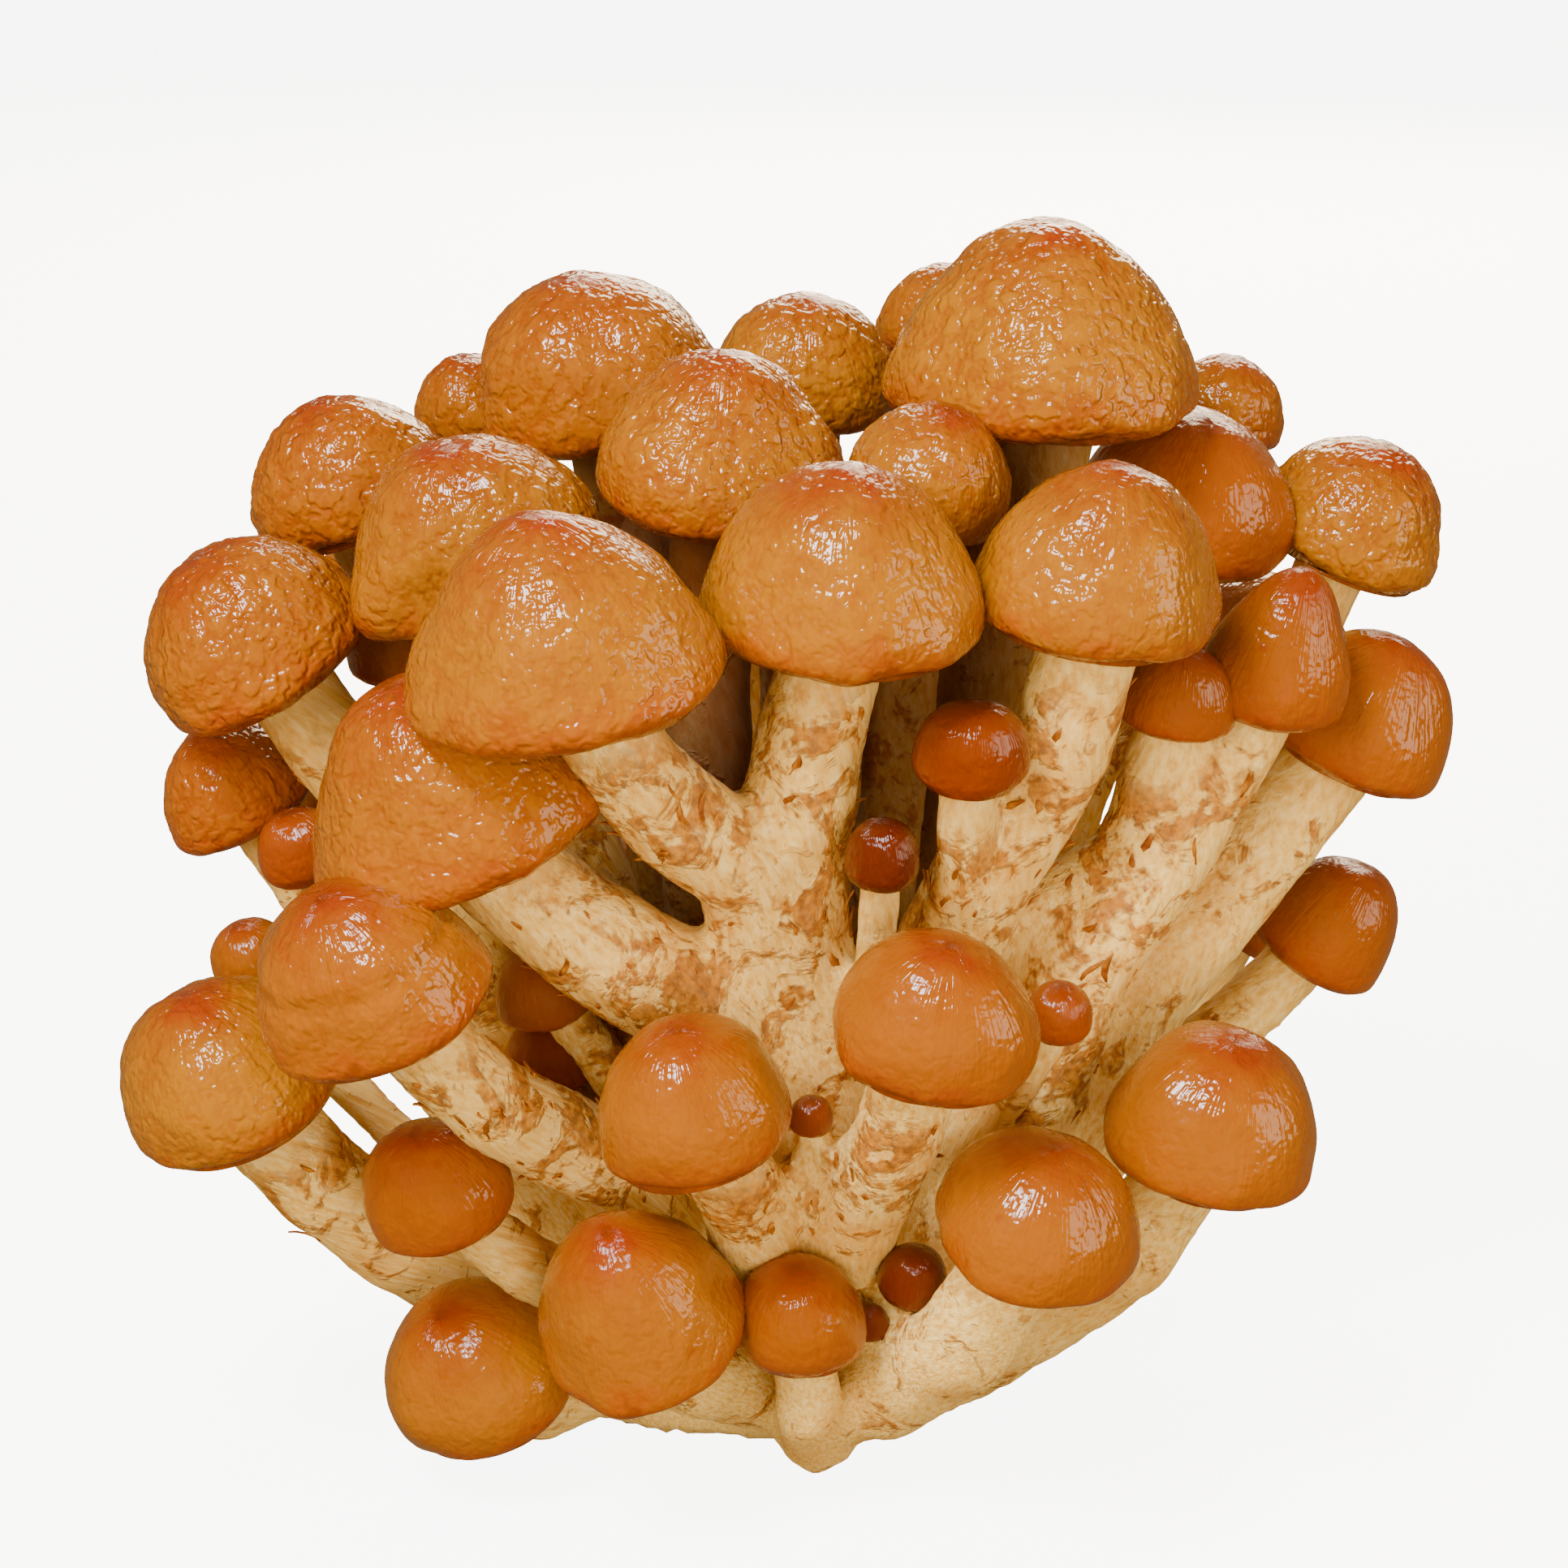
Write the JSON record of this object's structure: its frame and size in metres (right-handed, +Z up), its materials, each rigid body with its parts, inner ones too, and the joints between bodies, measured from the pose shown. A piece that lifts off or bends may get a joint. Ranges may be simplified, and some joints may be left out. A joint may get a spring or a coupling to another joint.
{
  "type": "nameko mushroom cluster",
  "caption": "Cluster of nameko mushrooms: glossy amber caps on cream stems that fan out of one fused, flat-cut butt.",
  "frame": {"origin": "middle of the flat cut face under the butt", "axes": "+Z up, +X to the right, -Y to the front, where the widest caps open"},
  "size_m": [0.1224, 0.1041, 0.1144],
  "materials": {
    "cap_skin": "wet, viscid amber skin, wrinkled like thin leather",
    "stem_flesh": "fibrous cream flesh with ochre scales"
  },
  "bodies": {
    "root": {"cap_back_foot": "cap_skin", "cap_back_left_high": "cap_skin", "cap_back_left_low": "cap_skin", "cap_back_left_outer": "cap_skin", "cap_back_left_waist": "cap_skin", "cap_back_middle_high": "cap_skin", "cap_back_middle_low": "cap_skin", "cap_back_middle_waist": "cap_skin", "cap_back_right_foot": "cap_skin", "cap_back_right_high": "cap_skin", "cap_back_right_low": "cap_skin", "cap_back_right_outer": "cap_skin", "cap_back_right_waist": "cap_skin", "cap_crown_behind": "cap_skin", "cap_crown_big": "cap_skin", "cap_crown_dented": "cap_skin", "cap_crown_left": "cap_skin", "cap_crown_middle": "cap_skin", "cap_crown_small": "cap_skin", "cap_crown_tilted": "cap_skin", "cap_foot_left": "cap_skin", "cap_foot_left_low": "cap_skin", "cap_foot_left_small": "cap_skin", "cap_foot_middle": "cap_skin", "cap_foot_right": "cap_skin", "cap_foot_right_outer": "cap_skin", "cap_front_left": "cap_skin", "cap_front_middle": "cap_skin", "cap_front_right": "cap_skin", "cap_left_back": "cap_skin", "cap_left_big": "cap_skin", "cap_left_dark": "cap_skin", "cap_left_hidden": "cap_skin", "cap_left_high": "cap_skin", "cap_left_outer": "cap_skin", "cap_left_pin": "cap_skin", "cap_left_pin_low": "cap_skin", "cap_pin_foot": "cap_skin", "cap_pin_foot_tiny": "cap_skin", "cap_pin_middle": "cap_skin", "cap_pin_right": "cap_skin", "cap_pin_waist": "cap_skin", "cap_right_behind": "cap_skin", "cap_right_drooping": "cap_skin", "cap_right_low": "cap_skin", "cap_right_outer": "cap_skin", "cap_right_shaded": "cap_skin", "cap_right_tall": "cap_skin", "cap_shoulder_left": "cap_skin", "cap_shoulder_left_behind": "cap_skin", "cap_shoulder_left_outer": "cap_skin", "cap_small_front": "cap_skin", "cap_small_right": "cap_skin", "cap_waist_left": "cap_skin", "cap_waist_left_small": "cap_skin", "cap_waist_middle": "cap_skin", "cap_waist_right": "cap_skin", "stems": "stem_flesh"}
  },
  "joints": []
}
